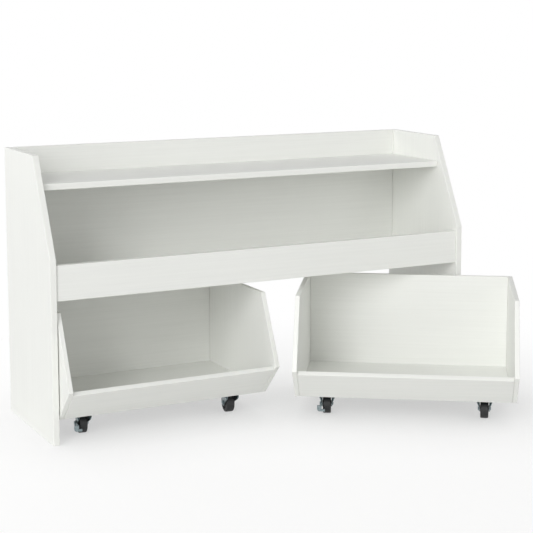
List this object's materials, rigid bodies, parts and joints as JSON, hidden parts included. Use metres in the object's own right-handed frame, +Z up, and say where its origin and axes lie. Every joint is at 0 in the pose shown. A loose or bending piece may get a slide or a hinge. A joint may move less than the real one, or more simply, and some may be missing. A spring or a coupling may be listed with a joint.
{
  "type": "toy storage unit",
  "caption": "White open toy storage unit with a top tray, a railed toy shelf and roll-out bins on swivel casters under it.",
  "frame": {"origin": "on the floor, under the middle of the whole unit's box, with the right bin rolled out as pictured", "axes": "+X along the case to the right as seen from the front, +Y from the front to the rear, +Z up"},
  "size_m": [1.2902, 0.794, 0.7],
  "materials": {
    "white_laminate": "white laminated board with a fine embossed wood grain",
    "zinc_plated_steel": "stamped steel, zinc plated",
    "cam_zinc": "cast zinc and bright steel",
    "black_tyre": "moulded black rubber"
  },
  "bodies": {
    "case": {"left_side": "white_laminate", "right_side": "white_laminate", "top_shelf": "white_laminate", "middle_shelf": "white_laminate", "front_rail": "white_laminate", "back_panel": "white_laminate", "top_shelf_cam_fitting_left": "cam_zinc", "top_shelf_cam_fitting_right": "cam_zinc", "middle_shelf_cam_fitting_left": "cam_zinc", "middle_shelf_cam_fitting_right": "cam_zinc", "front_rail_cam_fitting_left": "cam_zinc", "front_rail_cam_fitting_right": "cam_zinc", "back_panel_cam_fitting_left": "cam_zinc", "back_panel_cam_fitting_right": "cam_zinc"},
    "left_bin": {"left_bin_left_side": "white_laminate", "left_bin_right_side": "white_laminate", "left_bin_back": "white_laminate", "left_bin_front_lip": "white_laminate", "left_bin_floor": "white_laminate", "left_bin_front_left_plate": "zinc_plated_steel", "left_bin_front_right_plate": "zinc_plated_steel", "left_bin_rear_left_plate": "zinc_plated_steel", "left_bin_rear_right_plate": "zinc_plated_steel"},
    "right_bin": {"right_bin_left_side": "white_laminate", "right_bin_right_side": "white_laminate", "right_bin_back": "white_laminate", "right_bin_front_lip": "white_laminate", "right_bin_floor": "white_laminate", "right_bin_front_left_plate": "zinc_plated_steel", "right_bin_front_right_plate": "zinc_plated_steel", "right_bin_rear_left_plate": "zinc_plated_steel", "right_bin_rear_right_plate": "zinc_plated_steel"},
    "left_bin_front_left_fork": {"left_bin_front_left_fork": "zinc_plated_steel", "left_bin_front_left_axle": "zinc_plated_steel"},
    "left_bin_front_left_wheel": {"left_bin_front_left_wheel": "black_tyre"},
    "left_bin_front_left_brake_pedal": {"left_bin_front_left_brake_pedal": "zinc_plated_steel"},
    "left_bin_front_right_fork": {"left_bin_front_right_fork": "zinc_plated_steel", "left_bin_front_right_axle": "zinc_plated_steel"},
    "left_bin_front_right_wheel": {"left_bin_front_right_wheel": "black_tyre"},
    "left_bin_rear_left_fork": {"left_bin_rear_left_fork": "zinc_plated_steel", "left_bin_rear_left_axle": "zinc_plated_steel"},
    "left_bin_rear_left_wheel": {"left_bin_rear_left_wheel": "black_tyre"},
    "left_bin_rear_right_fork": {"left_bin_rear_right_fork": "zinc_plated_steel", "left_bin_rear_right_axle": "zinc_plated_steel"},
    "left_bin_rear_right_wheel": {"left_bin_rear_right_wheel": "black_tyre"},
    "right_bin_front_left_fork": {"right_bin_front_left_fork": "zinc_plated_steel", "right_bin_front_left_axle": "zinc_plated_steel"},
    "right_bin_front_left_wheel": {"right_bin_front_left_wheel": "black_tyre"},
    "right_bin_front_left_brake_pedal": {"right_bin_front_left_brake_pedal": "zinc_plated_steel"},
    "right_bin_front_right_fork": {"right_bin_front_right_fork": "zinc_plated_steel", "right_bin_front_right_axle": "zinc_plated_steel"},
    "right_bin_front_right_wheel": {"right_bin_front_right_wheel": "black_tyre"},
    "right_bin_rear_left_fork": {"right_bin_rear_left_fork": "zinc_plated_steel", "right_bin_rear_left_axle": "zinc_plated_steel"},
    "right_bin_rear_left_wheel": {"right_bin_rear_left_wheel": "black_tyre"},
    "right_bin_rear_right_fork": {"right_bin_rear_right_fork": "zinc_plated_steel", "right_bin_rear_right_axle": "zinc_plated_steel"},
    "right_bin_rear_right_wheel": {"right_bin_rear_right_wheel": "black_tyre"}
  },
  "joints": [
    {"name": "left_bin_roll", "type": "slide", "parent": "case", "child": "left_bin", "axis": [0, 1, 0], "range_m": [-0.45, 0]},
    {"name": "right_bin_roll", "type": "slide", "parent": "case", "child": "right_bin_front_right_fork", "axis": [-0.5563, -0.831, 0], "range_m": [0, 0.4]},
    {"name": "right_bin_turn", "type": "hinge", "parent": "right_bin_front_right_fork", "child": "right_bin", "pos_m": [0.42005, -0.24616, 0], "axis": [0, 0, 1], "range_deg": [0, 28]},
    {"name": "left_bin_front_left_swivel", "type": "hinge", "parent": "left_bin", "child": "left_bin_front_left_fork", "pos_m": [-0.54658, 0.10903, 0], "axis": [0, 0, 1], "continuous": true},
    {"name": "left_bin_front_left_wheel_spin", "type": "hinge", "parent": "left_bin_front_left_fork", "child": "left_bin_front_left_wheel", "pos_m": [-0.54407, 0.12685, 0.025], "axis": [0.9903, -0.1392, 0], "continuous": true},
    {"name": "left_bin_front_left_brake_press", "type": "hinge", "parent": "left_bin_front_left_fork", "child": "left_bin_front_left_brake_pedal", "pos_m": [-0.54407, 0.12685, 0.025], "axis": [0.9903, -0.1392, 0], "range_deg": [0, 12]},
    {"name": "left_bin_front_right_swivel", "type": "hinge", "parent": "left_bin", "child": "left_bin_front_right_fork", "pos_m": [-0.13858, 0.10903, 0], "axis": [0, 0, 1], "continuous": true},
    {"name": "left_bin_front_right_wheel_spin", "type": "hinge", "parent": "left_bin_front_right_fork", "child": "left_bin_front_right_wheel", "pos_m": [-0.13669, 0.12693, 0.025], "axis": [0.9945, -0.1045, 0], "continuous": true},
    {"name": "left_bin_rear_left_swivel", "type": "hinge", "parent": "left_bin", "child": "left_bin_rear_left_fork", "pos_m": [-0.54658, 0.34503, 0], "axis": [0, 0, 1], "continuous": true},
    {"name": "left_bin_rear_left_wheel_spin", "type": "hinge", "parent": "left_bin_rear_left_fork", "child": "left_bin_rear_left_wheel", "pos_m": [-0.54345, 0.36275, 0.025], "axis": [0.9848, -0.1736, 0], "continuous": true},
    {"name": "left_bin_rear_right_swivel", "type": "hinge", "parent": "left_bin", "child": "left_bin_rear_right_fork", "pos_m": [-0.13858, 0.34503, 0], "axis": [0, 0, 1], "continuous": true},
    {"name": "left_bin_rear_right_wheel_spin", "type": "hinge", "parent": "left_bin_rear_right_fork", "child": "left_bin_rear_right_wheel", "pos_m": [-0.13701, 0.36296, 0.025], "axis": [0.9962, -0.0872, 0], "continuous": true},
    {"name": "right_bin_front_left_swivel", "type": "hinge", "parent": "right_bin", "child": "right_bin_front_left_fork", "pos_m": [0.08101, -0.01919, 0], "axis": [0, 0, 1], "continuous": true},
    {"name": "right_bin_front_left_wheel_spin", "type": "hinge", "parent": "right_bin_front_left_fork", "child": "right_bin_front_left_wheel", "pos_m": [0.08968, -0.00342, 0.025], "axis": [0.8763, -0.4818, 0], "continuous": true},
    {"name": "right_bin_front_left_brake_press", "type": "hinge", "parent": "right_bin_front_left_fork", "child": "right_bin_front_left_brake_pedal", "pos_m": [0.08968, -0.00342, 0.025], "axis": [0.8763, -0.4818, 0], "range_deg": [0, 12]},
    {"name": "right_bin_front_right_wheel_spin", "type": "hinge", "parent": "right_bin_front_right_fork", "child": "right_bin_front_right_wheel", "pos_m": [0.43058, -0.23156, 0.025], "axis": [0.8111, -0.585, 0], "continuous": true},
    {"name": "right_bin_rear_left_swivel", "type": "hinge", "parent": "right_bin", "child": "right_bin_rear_left_fork", "pos_m": [0.2123, 0.17692, 0], "axis": [0, 0, 1], "continuous": true},
    {"name": "right_bin_rear_left_wheel_spin", "type": "hinge", "parent": "right_bin_rear_left_fork", "child": "right_bin_rear_left_wheel", "pos_m": [0.21898, 0.19364, 0.025], "axis": [0.9285, -0.3714, 0], "continuous": true},
    {"name": "right_bin_rear_right_swivel", "type": "hinge", "parent": "right_bin", "child": "right_bin_rear_right_fork", "pos_m": [0.55134, -0.05005, 0], "axis": [0, 0, 1], "continuous": true},
    {"name": "right_bin_rear_right_wheel_spin", "type": "hinge", "parent": "right_bin_rear_right_fork", "child": "right_bin_rear_right_wheel", "pos_m": [0.55973, -0.03412, 0.025], "axis": [0.8846, -0.4664, 0], "continuous": true}
  ]
}
